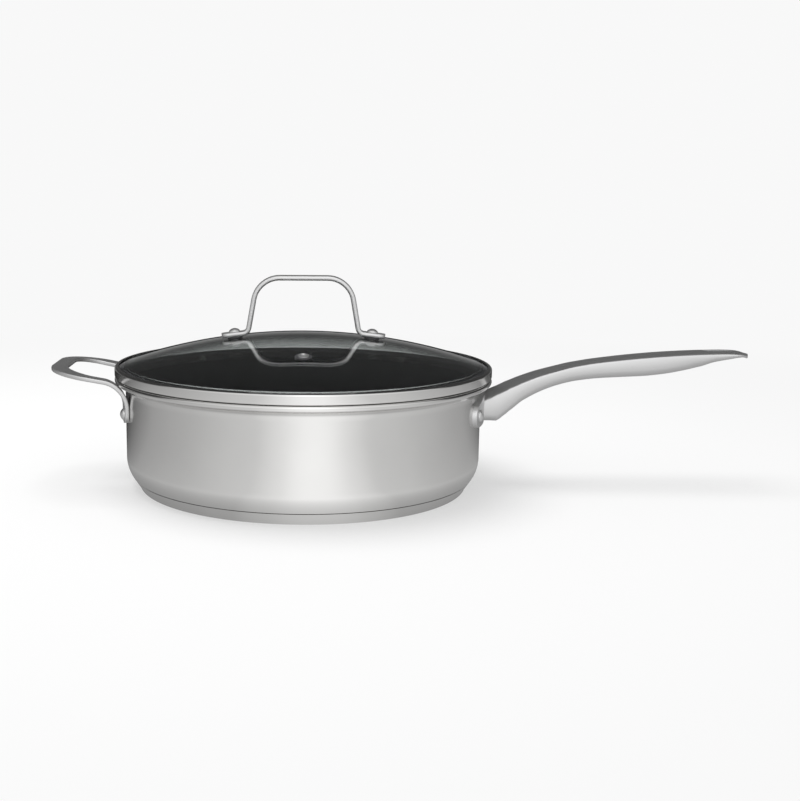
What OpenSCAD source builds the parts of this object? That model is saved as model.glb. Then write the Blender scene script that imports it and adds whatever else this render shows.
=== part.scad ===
// Saute pan with a riveted long handle, a riveted helper handle and a domed glass lid.
// Millimetres. The origin is on the pan's axis at the table, the long handle points
// along +X, the helper handle along -X, and +Z is up.

/* [Pan] */
// Outer radius of the straight side wall
pan_r = 135; // [125:1:145]
// Height of the rim above the table
rim_h = 85.1; // [80:0.1:100]
// Thickness of the side wall and the floor
wall_t = 1; // [0.8:0.1:1.6]
// Outer radius of the corner between the wall and the base
corner_r = 25; // [20:1:28]
// Height of the point where the corner begins
corner_h = 24; // [21:0.5:28]
// Radius of the rounded edge of the rim
lip_r = 2.2; // [1.6:0.1:2.8]
// How far the rim stands out past the side wall
lip_reach = 8; // [7:0.5:9]

/* [Base] */
// Height of the underside of the floor above the table
base_h = 6.5; // [5:0.5:7]
// Height to which the base capsule climbs
capsule_h = 8.6; // [8:0.1:10]
// Width of the groove above the capsule
groove_w = 0.7; // [0.4:0.1:1]
// Depth of the groove above the capsule
groove_d = 0.8; // [0.4:0.1:1.2]
// Thickness of the capsule's steel
capsule_t = 0.6; // [0.4:0.1:1]
// Radius of the capsule's lower edge, before its rounding
base_r = 124; // [118:1:126]
// Rounding of the capsule's lower edge
base_edge_r = 1.8; // [1:0.1:2.4]

/* [Lid] */
// Radius of the glass
glass_r = 140.6; // [140:0.1:141]
// Thickness of the glass
glass_t = 4; // [3.5:0.1:4.5]
// Radius of the sphere that the dome is cut from
dome_r = 440; // [400:5:480]
// Clearance between the rim and the lid's flange
lid_gap = 0.3; // [0.2:0.1:0.6]
// Thickness of the band's sheet
band_t = 0.6; // [0.4:0.1:0.8]
// Height of the band above its flange's underside
band_h = 7.6; // [7.2:0.1:8.4]
// How far the band's top turns in over the glass
band_turn = 3.1; // [2.6:0.1:3.6]
// Depth of the skirt below the rim
skirt_h = 4.6; // [3:0.2:8]
// Clearance between the skirt and the pan's wall
skirt_gap = 0.8; // [0.5:0.1:1.5]

/* [Lid handle] */
// Width of the lid handle's bar
lid_bar_w = 10; // [8:0.5:12]
// Thickness of the lid handle's bar
lid_bar_t = 3.8; // [3:0.1:4.5]
// Distance from the lid's axis to each rivet
lid_rivet_x = 52; // [48:1:56]
// Length of the foot past each rivet
lid_foot = 10; // [8:0.5:12]
// Half the distance between the legs at the foot
lid_leg_x = 41.9; // [39:0.1:43]
// Lean of each leg towards the middle, in degrees
lid_leg_lean = 10; // [4:1:14]
// Height of the loop above the glass
lid_loop_h = 45; // [38:1:55]
// Radius of the loop's corners
lid_loop_r = 20; // [12:1:22]
// Radius of the bend at the foot
lid_foot_r = 5; // [4:0.5:6]

/* [Vent] */
// Distance from the lid's axis to the steam vent
vent_x = 77; // [65:1:90]
// Radius of the hole through the vent
vent_hole_r = 1.6; // [1:0.1:2.2]
// Radius of the vent's barrel
vent_barrel_r = 2.8; // [2.6:0.1:3.6]
// Radius of the vent's collar
vent_collar_r = 6.2; // [5:0.1:7]
// Thickness of the vent's collar
vent_collar_t = 0.8; // [0.5:0.1:1.2]

/* [Long handle] */
// Length from the pan's wall to the tip
handle_len = 204; // [180:2:230]
// Rise of the tip above the rivets
handle_rise = 43.3; // [35:0.1:55]
// Thickness of the grip
handle_t = 16; // [13:0.5:18]
// Width of the grip
handle_w = 27; // [23:1:30]
// Radius of the crown across the top
crown_r = 50; // [40:1:80]
// Height of the rivets above the table
handle_z = 61.5; // [58:0.5:64]
// Angle of each rivet from the handle's middle, seen from the pan's axis
handle_rivet_a = 20.3; // [18:0.1:22]
// Thickness of the flange
flange_t = 3; // [2.4:0.1:3.6]
// Radius of the flange's rounded ends
flange_end_r = 8.5; // [7:0.1:9]
// Length of the hanging slot
slot_len = 23; // [18:1:26]
// Width of the hanging slot
slot_w = 8; // [6:0.5:10]
// Distance from the slot's outer end to the handle's tip
slot_edge = 11.5; // [9:0.5:14]

/* [Helper handle] */
// Width of the bar
helper_w = 12; // [10:0.5:13]
// Thickness of the bar
helper_t = 3.2; // [2.8:0.1:3.6]
// Distance from the pan's wall to the middle of the bar at the tip
helper_reach = 48; // [42:1:55]
// Half the distance between the middles of the arms
helper_half = 44.5; // [40:0.5:50]
// Radius of the loop's corners
helper_corner_r = 26; // [20:1:30]
// Height of the middle of the bar at the tip
helper_tip_z = 91.5; // [86:0.5:95]
// Height of the middle of the bar where the arms leave the lugs
helper_knee_z = 81.5; // [80:0.5:82]
// Radius of the bend above each lug
helper_knee_r = 20; // [16:1:22]
// Height of the rivets above the table
helper_z = 60; // [57:0.5:63]
// Angle of each rivet from the handle's middle, seen from the pan's axis
helper_rivet_a = 17; // [15:0.5:18]

/* [Rivets] */
// Radius of the rivets' shanks
shank_r = 2.6; // [2:0.1:3]
// Clearance round each shank
shank_gap = 0.05; // [0.02:0.01:0.1]
// Radius of the domed heads
head_r = 4.2; // [3.6:0.1:4.6]
// Height of the domed heads
head_h = 2.8; // [2:0.1:3.4]
// Radius of the flat heads inside the pan
tail_r = 5.2; // [4.5:0.1:6]
// Height of the flat heads inside the pan
tail_h = 1.4; // [1:0.1:2]
// Radius of the washers between the lid handle and the glass
washer_r = 5.6; // [5:0.1:6.5]
// Thickness of the washers between the lid handle and the glass
washer_t = 1.2; // [0.8:0.1:1.6]

/* [Hidden] */

steel = "silver";
dark_steel = "gray";
$fn = 96;
far = 400;
arc_steps = 8;

// Pan, derived
inner_r = pan_r - wall_t;
corner_x = pan_r - corner_r;
lip_x = pan_r + lip_reach - lip_r;
lip_z = rim_h - lip_r;
flare_r = 8;
flare_z = lip_z - sqrt(pow(flare_r + lip_r, 2) - pow(lip_x - pan_r - flare_r, 2));
rim_round_r = 5.4;
floor_z = base_h + wall_t;
inner_corner_r = 16.5;
inner_corner_x = inner_r - inner_corner_r;
inner_corner_z = floor_z + inner_corner_r;
groove_z = capsule_h + groove_w;

// Lid, derived
flange_z = rim_h + lid_gap;
band_r = pan_r + lip_reach;
band_top = flange_z + band_h;
band_edge_r = 1.6;
skirt_r = inner_r - skirt_gap;
seal_z = flange_z + band_t;
seal_in_r = skirt_r + 1;
dome_z = band_top - band_t - 0.1 - sqrt(dome_r * dome_r - pow(glass_r - 1.2, 2));
glass_edge_h = 1.2;
under_r = dome_r - glass_t;
hole_gap = 0.05;

// Handles, derived
flange_r = pan_r + flange_t;
lug_r = pan_r + helper_t / 2;
slot_x = pan_r + handle_len - slot_edge - slot_len / 2;
slot_end = slot_len / 2 - slot_w / 2;

// Shape of the long handle from the wall to the tip: share of the length, share of
// the rise, share of the grip's thickness, share of the grip's width
handle_rows = [
    [-0.060, 0.06, 1.00, 1.28],
    [-0.012, 0.16, 1.08, 1.28],
    [0.034, 0.25, 1.30, 1.26],
    [0.062, 0.31, 1.47, 1.24],
    [0.075, 0.34, 1.40, 1.23],
    [0.103, 0.405, 1.29, 1.20],
    [0.152, 0.50, 1.05, 1.15],
    [0.211, 0.598, 0.91, 1.07],
    [0.270, 0.675, 0.82, 1.01],
    [0.338, 0.755, 0.81, 0.96],
    [0.417, 0.822, 0.85, 0.95],
    [0.515, 0.882, 0.93, 0.98],
    [0.613, 0.930, 0.99, 1.00],
    [0.691, 0.960, 0.95, 1.00],
    [0.760, 0.979, 0.83, 0.985],
    [0.819, 0.991, 0.675, 0.965],
    [0.858, 0.996, 0.50, 0.96],
    [0.917, 1.000, 0.36, 0.95],
    [0.966, 0.985, 0.22, 0.95],
    [1.000, 0.940, 0.21, 0.95]
];

// Points along an arc about [x, z]
function arc(x, z, r, a0, a1, n = arc_steps) =
    [for (i = [0:n]) let (a = a0 + (a1 - a0) * i / n) [x + r * cos(a), z + r * sin(a)]];

function unit(v) = v / norm(v);

// Points along an arc of radius r that rounds the corner at b
function corner_arc(a, b, c, r, n) = let (
        u = unit(a - b), v = unit(c - b),
        half = acos(u * v) / 2,
        centre = b + unit(u + v) * r / sin(half),
        from = unit(b + u * r / tan(half) - centre),
        to = unit(b + v * r / tan(half) - centre),
        side = unit(to - from * (to * from)),
        sweep = 180 - 2 * half)
    [for (i = [0:n]) let (t = sweep * i / n) centre + r * (from * cos(t) + side * sin(t))];

// A path through corners, each with its rounding
function rounded_path(corners, radii, n) = concat(
    [corners[0]],
    [for (i = [1:len(corners) - 2])
        for (p = corner_arc(corners[i - 1], corners[i], corners[i + 1], radii[i - 1], n)) p],
    [corners[len(corners) - 1]]);

function tangent(path, i) =
    unit(path[min(i + 1, len(path) - 1)] - path[max(i - 1, 0)]);

// A bar's section, across its width and its thickness, with rounded edges
function bar_section(w, t, r, n) = [
    for (k = [0:3]) let (sx = (k == 0 || k == 3) ? 1 : -1, sy = k < 2 ? 1 : -1)
        for (i = [0:n]) let (a = 90 * k + 90 * i / n)
            [sx * (w / 2 - r) + r * cos(a), sy * (t / 2 - r) + r * sin(a)]];

// A solid through rings that all have the same number of points
module skin(rings) {
    n = len(rings[0]);
    m = len(rings);
    polyhedron(
        points = [for (ring = rings) for (i = [n - 1:-1:0]) ring[i]],
        faces = concat(
            [[for (i = [n - 1:-1:0]) i]],
            [[for (i = [0:n - 1]) (m - 1) * n + i]],
            [for (j = [0:m - 2]) for (i = [0:n - 1])
                [j * n + i, j * n + (i + 1) % n, (j + 1) * n + (i + 1) % n]],
            [for (j = [0:m - 2]) for (i = [0:n - 1])
                [j * n + i, (j + 1) * n + (i + 1) % n, (j + 1) * n + i]]),
        convexity = 6);
}

// Places its children on the side wall, with their +Z pointing away from the pan's axis
module on_wall(angle, z, r) {
    rotate([0, 0, angle]) translate([r, 0, z]) rotate([0, 90, 0]) children();
}

// Places its children on the glass, with their +Z along the glass's normal
module on_glass(x) {
    translate([0, 0, dome_z]) rotate([0, asin(x / dome_r), 0]) translate([0, 0, dome_r]) children();
}

// Pan body
function capsule_side(z) =
    base_r + (corner_x + sqrt(pow(corner_r, 2) - pow(corner_h - groove_z, 2)) - base_r) * z / groove_z;

module body_section() {
    start_a = -asin((corner_h - groove_z) / corner_r);
    flare_a = atan2(lip_z - flare_z, lip_x - pan_r - flare_r);
    hidden_r = capsule_side(base_h) - capsule_t;
    polygon(concat(
        [[0, base_h], [hidden_r, base_h], [capsule_side(capsule_h) - groove_d, capsule_h]],
        [[capsule_side(groove_z) - groove_d, groove_z]],
        arc(corner_x, corner_h, corner_r, start_a, 0),
        arc(pan_r + flare_r, flare_z, flare_r, 180, flare_a),
        arc(lip_x, lip_z, lip_r, flare_a - 180, 90),
        arc(inner_r + rim_round_r, rim_h - rim_round_r, rim_round_r, 90, 180),
        arc(inner_corner_x, inner_corner_z, inner_corner_r, 0, -90),
        [[0, floor_z]]));
}

module wall_bores() {
    bore_r = shank_r + shank_gap;
    for (side = [-1, 1]) {
        on_wall(side * handle_rivet_a, handle_z, pan_r - 8) cylinder(r = bore_r, h = 20, $fn = 48);
        on_wall(180 + side * helper_rivet_a, helper_z, pan_r - 8) cylinder(r = bore_r, h = 20, $fn = 48);
    }
}

module pan_body() {
    color(steel) difference() {
        rotate_extrude($fn = 180) body_section();
        wall_bores();
    }
}

// Base
module capsule_inside() {
    turn_z = capsule_t + base_edge_r;
    polygon([
        [0, capsule_t], [capsule_side(0) - capsule_t - base_edge_r, capsule_t],
        [capsule_side(turn_z) - capsule_t, turn_z],
        [capsule_side(capsule_h) - capsule_t, capsule_h], [0, capsule_h]]);
}

module base_core() {
    color(dark_steel) rotate_extrude($fn = 180) intersection() {
        capsule_inside();
        square([pan_r, base_h]);
    }
}

module base_capsule() {
    color(steel) rotate_extrude($fn = 180) difference() {
        polygon(concat(
            [[0, 0]],
            arc(capsule_side(base_edge_r) - base_edge_r, base_edge_r, base_edge_r, -90, 0),
            [[capsule_side(capsule_h), capsule_h], [0, capsule_h]]));
        capsule_inside();
    }
}

// Rivets through the wall: a shank, a domed head outside and a flat head inside
module wall_rivet(angle, z, seat_r) {
    tail_seat = sqrt(pow(inner_r, 2) - pow(tail_r, 2));
    color(steel) {
        on_wall(angle, z, tail_seat - tail_h / 2) cylinder(r = shank_r, h = seat_r - tail_seat + tail_h, $fn = 48);
        on_wall(angle, z, tail_seat - tail_h) cylinder(r1 = tail_r - 0.5, r2 = tail_r, h = tail_h, $fn = 48);
        on_wall(angle, z, seat_r) domed_head(head_r, head_h);
    }
}

module domed_head(r, h) {
    rim = 0.8;
    ball_r = (r * r + pow(h - rim, 2)) / (2 * (h - rim));
    rotate_extrude($fn = 48) intersection() {
        square([r, h]);
        union() {
            square([r, rim]);
            translate([0, h - ball_r]) circle(r = ball_r, $fn = 96);
        }
    }
}

module long_handle_rivet_front() { wall_rivet(-handle_rivet_a, handle_z, flange_r); }
module long_handle_rivet_rear() { wall_rivet(handle_rivet_a, handle_z, flange_r); }
module helper_rivet_front() { wall_rivet(180 + helper_rivet_a, helper_z, pan_r + helper_t); }
module helper_rivet_rear() { wall_rivet(180 - helper_rivet_a, helper_z, pan_r + helper_t); }

// Long handle
function spline(a, b, c, d, t) =
    0.5 * ((2 * b) + (c - a) * t + (2 * a - 5 * b + 4 * c - d) * t * t + (3 * b - a - 3 * c + d) * t * t * t);

// One ring of the handle: flat sides, a crowned top and a rounded underside
function handle_ring(row) = let (
        x = pan_r + row[0] * handle_len,
        top = handle_z + row[1] * handle_rise,
        t = row[2] * handle_t,
        half = row[3] * handle_w / 2,
        edge = min(2.6, t / 3),
        crown = function (y) top - y * y / (2 * crown_r))
    concat(
        [for (p = arc(half - edge, top - t + edge, edge, -90, 0, 3)) [x, p[0], p[1]]],
        [for (k = [1:-0.5:-1]) [x, k * (half - 0.3), crown(k * half)]],
        [for (p = arc(-half + edge, top - t + edge, edge, 180, 270, 3)) [x, p[0], p[1]]]);

module handle_bar() {
    last = len(handle_rows) - 1;
    steps = 2;
    skin(concat(
        [for (i = [0:last - 1]) for (k = [0:steps - 1])
            handle_ring(spline(
                handle_rows[max(i - 1, 0)], handle_rows[i],
                handle_rows[i + 1], handle_rows[min(i + 2, last)], k / steps))],
        [handle_ring(handle_rows[last])]));
}

module flange_outline() {
    reach = flange_r * sin(handle_rivet_a);
    hull() {
        for (side = [-1, 1]) {
            translate([side * reach, handle_z]) circle(r = flange_end_r, $fn = 32);
            translate([side * reach * 0.66, handle_z + 4.5]) circle(r = flange_end_r - 1.5, $fn = 32);
        }
    }
}

module flange() {
    intersection() {
        rotate([90, 0, 90]) linear_extrude(height = flange_r) flange_outline();
        cylinder(r = flange_r, h = rim_h);
    }
}

module handle_end() {
    end_r = handle_w / 2;
    tip = pan_r + handle_len;
    translate([0, -far / 2, 0]) cube([tip - end_r, far, far]);
    translate([tip - end_r, 0, 0]) cylinder(r = end_r, h = far);
}

module hanging_slot() {
    for (side = [-1, 1]) translate([slot_x + side * slot_end, 0, 0]) cylinder(r = slot_w / 2, h = far, $fn = 48);
    translate([slot_x - slot_end, -slot_w / 2, 0]) cube([2 * slot_end, slot_w, far]);
}

module long_handle() {
    color(steel) difference() {
        union() {
            intersection() {
                handle_bar();
                handle_end();
            }
            flange();
        }
        cylinder(r = pan_r, h = far, $fn = 180);
        hanging_slot();
        wall_bores();
    }
}

// Helper handle
function helper_corners() = let (
        lug = [-lug_r * cos(helper_rivet_a), -lug_r * sin(helper_rivet_a)],
        tip = -pan_r - helper_reach,
        half = [
            [lug[0], lug[1], helper_z - helper_w / 2 - 2.5],
            [lug[0], lug[1], helper_knee_z],
            [tip, -helper_half, helper_tip_z]])
    concat(half, [for (i = [2:-1:0]) [half[i][0], -half[i][1], half[i][2]]]);

// Direction across the bar's width, turned from the pan's wall at the lugs to the loop's plane
function helper_across(path, i) = let (
        t = tangent(path, i),
        side = path[i][1] < 0 ? -1 : 1,
        lug_dir = [sin(helper_rivet_a), side * cos(helper_rivet_a), 0],
        hint = cross([0, 0, 1], t) + abs(t[2]) * lug_dir)
    unit(hint - t * (hint * t));

module helper_bar() {
    knee_steps = 8;
    path = rounded_path(helper_corners(), [helper_knee_r, helper_corner_r, helper_corner_r, helper_knee_r], knee_steps);
    section = bar_section(helper_w, helper_t, 0.8, 1);
    skin([for (i = [0:len(path) - 1]) let (t = tangent(path, i), w = helper_across(path, i), n = cross(t, w))
        [for (p = section) path[i] + p[0] * w + p[1] * n]]);
}

module lug_ends() {
    for (side = [-1, 1]) on_wall(180 + side * helper_rivet_a, helper_z, pan_r - 10) difference() {
        translate([0, -helper_w, -5]) cube([3 * helper_w, 2 * helper_w, 30]);
        translate([0, 0, -6]) cylinder(r = helper_w / 2 + 0.5, h = 32, $fn = 64);
    }
}

module helper_handle() {
    color(steel) difference() {
        helper_bar();
        lug_ends();
        cylinder(r = pan_r, h = far, $fn = 180);
        wall_bores();
    }
}

// Lid
module lid_bores(r) {
    for (side = [-1, 1]) on_glass(side * lid_rivet_x) translate([0, 0, -10]) cylinder(r = r, h = 20, $fn = 48);
}

module vent_place() {
    rotate([0, 0, -90]) on_glass(vent_x) children();
}

// How far the dished underside of the glass rises over a flat ring of this radius
function dish(r) = under_r - sqrt(under_r * under_r - r * r) + 0.01;

module glass_section() {
    intersection() {
        difference() {
            translate([0, dome_z]) circle(r = dome_r, $fn = 720);
            translate([0, dome_z]) circle(r = under_r, $fn = 720);
        }
        polygon([
            [0, flange_z], [glass_r, flange_z], [glass_r, band_top - band_t - glass_edge_h],
            [glass_r - glass_edge_h, band_top - band_t], [glass_r - glass_edge_h, 2 * band_top], [0, 2 * band_top]]);
    }
}

module lid_glass() {
    color("lightblue", 0.4) difference() {
        rotate_extrude($fn = 180) glass_section();
        lid_bores(shank_r + shank_gap);
        vent_place() translate([0, 0, -10]) cylinder(r = vent_barrel_r + vent_collar_t + hole_gap, h = 20, $fn = 48);
    }
}

module band_section() {
    in_r = band_edge_r - band_t;
    turn_r = band_r - band_turn;
    polygon(concat(
        [[skirt_r - band_t, rim_h - skirt_h], [skirt_r, rim_h - skirt_h], [skirt_r, flange_z]],
        arc(band_r - band_edge_r, flange_z + band_edge_r, band_edge_r, -90, 0),
        arc(band_r - band_edge_r, band_top - band_edge_r, band_edge_r, 0, 90),
        [[turn_r, band_top], [turn_r, band_top - band_t]],
        arc(band_r - band_edge_r, band_top - band_edge_r, in_r, 90, 0),
        arc(band_r - band_edge_r, flange_z + band_edge_r, in_r, 0, -90),
        [[skirt_r - band_t, seal_z]]));
}

module lid_band() {
    color(steel) rotate_extrude($fn = 180) band_section();
}

module seal_section() {
    edge_x = band_r - band_t - 0.1;
    top = band_top - band_t - 1.2;
    difference() {
        polygon([
            [seal_in_r, seal_z], [band_r - band_edge_r, seal_z], [edge_x, flange_z + band_edge_r + 0.2],
            [edge_x, top], [glass_r, top], [seal_in_r, top]]);
        intersection() {
            translate([0, dome_z]) circle(r = under_r + 30, $fn = 720);
            polygon([[0, 0], [glass_r, 0], [glass_r, 2 * band_top], [0, 2 * band_top]]);
            difference() {
                square([2 * far, 2 * far]);
                translate([0, dome_z]) circle(r = under_r, $fn = 720);
            }
        }
    }
}

module lid_seal() {
    color("dimgray") rotate_extrude($fn = 180) seal_section();
}

// Lid handle: a loop in the plane of the two rivets
function foot_point(along) = let (
        a = asin(lid_rivet_x / dome_r),
        r = dome_r + washer_t + lid_bar_t / 2)
    [r * sin(a) + along * cos(a), 0, dome_z + r * cos(a) - along * sin(a)];

function handle_corners() = let (
        knee = foot_point((lid_leg_x - lid_rivet_x) / cos(asin(lid_rivet_x / dome_r))),
        loop_z = dome_z + dome_r + lid_loop_h - lid_bar_t / 2,
        top_x = knee[0] - (loop_z - knee[2]) * tan(lid_leg_lean),
        half = [foot_point(lid_foot), knee, [top_x, 0, loop_z]])
    concat(half, [for (i = [2:-1:0]) [-half[i][0], 0, half[i][2]]]);

module lid_handle_bar() {
    bend_steps = 8;
    path = rounded_path(handle_corners(), [lid_foot_r, lid_loop_r, lid_loop_r, lid_foot_r], bend_steps);
    section = bar_section(lid_bar_w, lid_bar_t, lid_bar_t / 2 - 0.2, 3);
    skin([for (i = [0:len(path) - 1]) let (n = cross(tangent(path, i), [0, 1, 0]))
        [for (p = section) path[i] + p[0] * [0, 1, 0] + p[1] * n]]);
}

module foot_ends() {
    end_r = lid_bar_w / 2;
    x = foot_point(lid_foot)[0] - end_r;
    for (side = [-1, 1]) translate([side * x, 0, 0]) cylinder(r = end_r, h = far, $fn = 64);
    translate([-x, -end_r, 0]) cube([2 * x, 2 * end_r, far]);
}

module lid_handle() {
    color(steel) difference() {
        intersection() {
            lid_handle_bar();
            foot_ends();
        }
        lid_bores(shank_r + shank_gap);
    }
}

// Rivets through the glass: a shank, a domed head above and a flat head below
module glass_rivet(side) {
    seat = washer_t + lid_bar_t;
    under = glass_t + dish(washer_r) + washer_t;
    color(steel) on_glass(side * lid_rivet_x) {
        translate([0, 0, -under - tail_h / 2]) cylinder(r = shank_r, h = under + seat + tail_h / 2 + 0.4, $fn = 48);
        translate([0, 0, seat]) domed_head(head_r, head_h);
        translate([0, 0, -under - tail_h]) cylinder(r1 = tail_r - 0.5, r2 = tail_r, h = tail_h, $fn = 48);
    }
}

module glass_washer(side, z) {
    color("dimgray") on_glass(side * lid_rivet_x) translate([0, 0, z]) difference() {
        cylinder(r = washer_r, h = washer_t, $fn = 64);
        translate([0, 0, -1]) cylinder(r = shank_r + shank_gap, h = washer_t + 2, $fn = 48);
    }
}

module lid_rivet_left() { glass_rivet(-1); }
module lid_rivet_right() { glass_rivet(1); }
module lid_upper_washer_left() { glass_washer(-1, 0); }
module lid_upper_washer_right() { glass_washer(1, 0); }
module lid_lower_washer_left() { glass_washer(-1, -glass_t - dish(washer_r) - washer_t); }
module lid_lower_washer_right() { glass_washer(1, -glass_t - dish(washer_r) - washer_t); }

// Steam vent: a steel eyelet in a soft gasket
module vent_eyelet() {
    foot = glass_t + dish(vent_collar_r) + 2 * vent_collar_t;
    color(steel) vent_place() difference() {
        union() {
            translate([0, 0, -foot]) cylinder(r = vent_barrel_r, h = foot + 2 * vent_collar_t, $fn = 48);
            translate([0, 0, vent_collar_t]) domed_head(vent_barrel_r + 1.2, 1.6);
            translate([0, 0, -foot]) cylinder(r = vent_barrel_r + 1.2, h = vent_collar_t, $fn = 48);
        }
        translate([0, 0, -foot - 1]) cylinder(r = vent_hole_r, h = foot + 8, $fn = 48);
    }
}

module vent_gasket() {
    seat = glass_t + dish(vent_collar_r);
    color("dimgray") vent_place() difference() {
        union() {
            cylinder(r = vent_collar_r, h = vent_collar_t, $fn = 64);
            translate([0, 0, -seat]) cylinder(r = vent_barrel_r + vent_collar_t, h = seat, $fn = 48);
            translate([0, 0, -seat - vent_collar_t]) cylinder(r = vent_collar_r, h = vent_collar_t, $fn = 64);
        }
        translate([0, 0, -10]) cylinder(r = vent_barrel_r, h = 20, $fn = 48);
    }
}

pan_body();
base_core();
base_capsule();
long_handle();
long_handle_rivet_front();
long_handle_rivet_rear();
helper_handle();
helper_rivet_front();
helper_rivet_rear();
lid_glass();
lid_band();
lid_seal();
lid_handle();
lid_rivet_left();
lid_rivet_right();
lid_upper_washer_left();
lid_upper_washer_right();
lid_lower_washer_left();
lid_lower_washer_right();
vent_eyelet();
vent_gasket();
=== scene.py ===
import math

import bmesh
import bpy
from mathutils import Matrix, Vector


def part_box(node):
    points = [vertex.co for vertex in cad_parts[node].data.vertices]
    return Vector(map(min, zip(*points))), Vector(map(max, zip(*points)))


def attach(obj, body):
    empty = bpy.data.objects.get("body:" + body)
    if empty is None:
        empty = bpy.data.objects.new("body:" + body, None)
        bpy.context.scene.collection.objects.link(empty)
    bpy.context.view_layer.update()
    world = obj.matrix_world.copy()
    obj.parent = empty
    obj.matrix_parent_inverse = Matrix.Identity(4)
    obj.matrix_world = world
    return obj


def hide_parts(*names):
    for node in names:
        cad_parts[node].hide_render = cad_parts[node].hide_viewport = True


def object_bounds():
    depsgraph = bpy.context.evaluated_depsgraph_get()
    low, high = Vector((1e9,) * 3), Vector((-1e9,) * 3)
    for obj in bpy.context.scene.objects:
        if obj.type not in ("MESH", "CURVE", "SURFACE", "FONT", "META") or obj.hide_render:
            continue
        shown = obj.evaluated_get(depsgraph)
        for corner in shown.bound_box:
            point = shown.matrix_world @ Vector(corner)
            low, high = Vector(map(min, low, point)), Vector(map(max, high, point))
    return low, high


bl_info = {
    "name": "Saute pan with lid",
    "version": (1, 0, 0),
    "blender": (4, 5, 0),
    "location": "3D View > Sidebar > Pan",
    "description": "Builds a riveted saute pan and its glass lid on their packed frame",
    "category": "Add Mesh",
}

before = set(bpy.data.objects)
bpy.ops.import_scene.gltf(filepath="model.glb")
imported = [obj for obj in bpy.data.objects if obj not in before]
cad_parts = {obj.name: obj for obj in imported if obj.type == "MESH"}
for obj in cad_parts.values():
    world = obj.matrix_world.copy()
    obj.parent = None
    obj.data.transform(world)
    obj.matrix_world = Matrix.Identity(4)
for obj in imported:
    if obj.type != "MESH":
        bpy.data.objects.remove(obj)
CAD_LOW, CAD_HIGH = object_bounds()
RIM_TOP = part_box("pan_body")[1].z

ROUND_STEPS = 192
SMALL_STEPS = 48
# Widest angle in degrees that still looks smooth, on large pieces and on small ones
LARGE_CREASE = 35
SMALL_CREASE = 50

# Clearances and small roundings in metres
MERGE = 1e-7
DISH_GAP = 0.00001
HOLE_GAP = 0.00005
SEAT_GAP = 0.0001
SEAL_GAP = 0.001
SOFT_EDGE = 0.0002
HEAD_SIDE = 0.0008
TAIL_EDGE = 0.0008
BAR_EDGE = 0.0009


def length(name, description, default):
    """A size in metres."""
    return bpy.props.FloatProperty(
        name=name, description=description, default=default, min=0.0, precision=4,
        unit="LENGTH", subtype="DISTANCE")


def angle(name, description, degrees):
    """An angle, given in degrees and kept in radians."""
    return bpy.props.FloatProperty(
        name=name, description=description, default=math.radians(degrees),
        unit="ROTATION", subtype="ANGLE")


def colour(name, description, default):
    """A colour in linear light."""
    return bpy.props.FloatVectorProperty(
        name=name, description=description, default=default, size=3, min=0.0, max=1.0,
        subtype="COLOR")


def share(name, description, default):
    """A number from 0 to 1."""
    return bpy.props.FloatProperty(
        name=name, description=description, default=default, min=0.0, max=1.0,
        subtype="FACTOR")


class PanSizes(bpy.types.PropertyGroup):
    wall_radius: length("Wall radius", "Outer radius of the straight side wall", 0.135)
    rim_height: length("Rim height", "Height of the rim above the table", RIM_TOP)
    wall: length("Wall", "Thickness of the side wall and the floor", 0.001)
    corner_radius: length("Corner radius", "Outer radius between the wall and the base", 0.025)
    corner_height: length("Corner height", "Height of the centre of the corner", 0.024)
    inner_corner: length("Inner corner", "Inner radius between the wall and the floor", 0.0165)
    lip_radius: length("Lip radius", "Radius of the rounded edge of the rim", 0.0022)
    lip_reach: length("Lip reach", "How far the rim stands out past the wall", 0.008)
    flare: length("Flare", "Radius of the curve below the rim", 0.008)
    rim_rounding: length("Rim rounding", "Radius of the rim's inner edge", 0.0054)
    base_height: length("Base height", "Height of the underside of the floor", 0.0065)
    capsule_height: length("Capsule height", "Height to which the capsule climbs", 0.0086)
    groove_width: length("Groove width", "Width of the groove above the capsule", 0.0007)
    groove_depth: length("Groove depth", "Depth of the groove above the capsule", 0.0008)
    capsule_wall: length("Capsule wall", "Thickness of the capsule's steel", 0.0006)
    base_radius: length("Base radius", "Radius of the capsule's lower edge", 0.124)
    base_edge: length("Base edge", "Rounding of the capsule's lower edge", 0.0018)


class LidSizes(bpy.types.PropertyGroup):
    glass_radius: length("Glass radius", "Radius of the glass", 0.1406)
    glass: length("Glass thickness", "Thickness of the glass", 0.004)
    glass_chamfer: length("Glass chamfer", "Ground edge of the glass", 0.0012)
    dome_radius: length("Dome radius", "Radius of the sphere the dome is cut from", 0.44)
    gap: length("Lid gap", "Clearance between the rim and the lid", 0.0003)
    band: length("Band sheet", "Thickness of the band's sheet", 0.0006)
    band_height: length("Band height", "Height of the band above its flange", 0.0076)
    band_turn: length("Band turn", "How far the band turns in over the glass", 0.0031)
    band_edge: length("Band edge", "Outer rounding of the band", 0.0016)
    skirt_depth: length("Skirt depth", "Depth of the skirt below the rim", 0.0046)
    skirt_gap: length("Skirt gap", "Clearance between the skirt and the wall", 0.0008)
    vent_place: length("Vent place", "Distance from the axis to the steam vent", 0.077)
    vent_hole: length("Vent hole", "Radius of the hole through the vent", 0.0016)
    vent_barrel: length("Vent barrel", "Radius of the vent's barrel", 0.0028)
    vent_collar: length("Vent collar", "Radius of the vent's gasket", 0.0062)
    collar: length("Collar thickness", "Thickness of the vent's collars", 0.0008)


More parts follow.
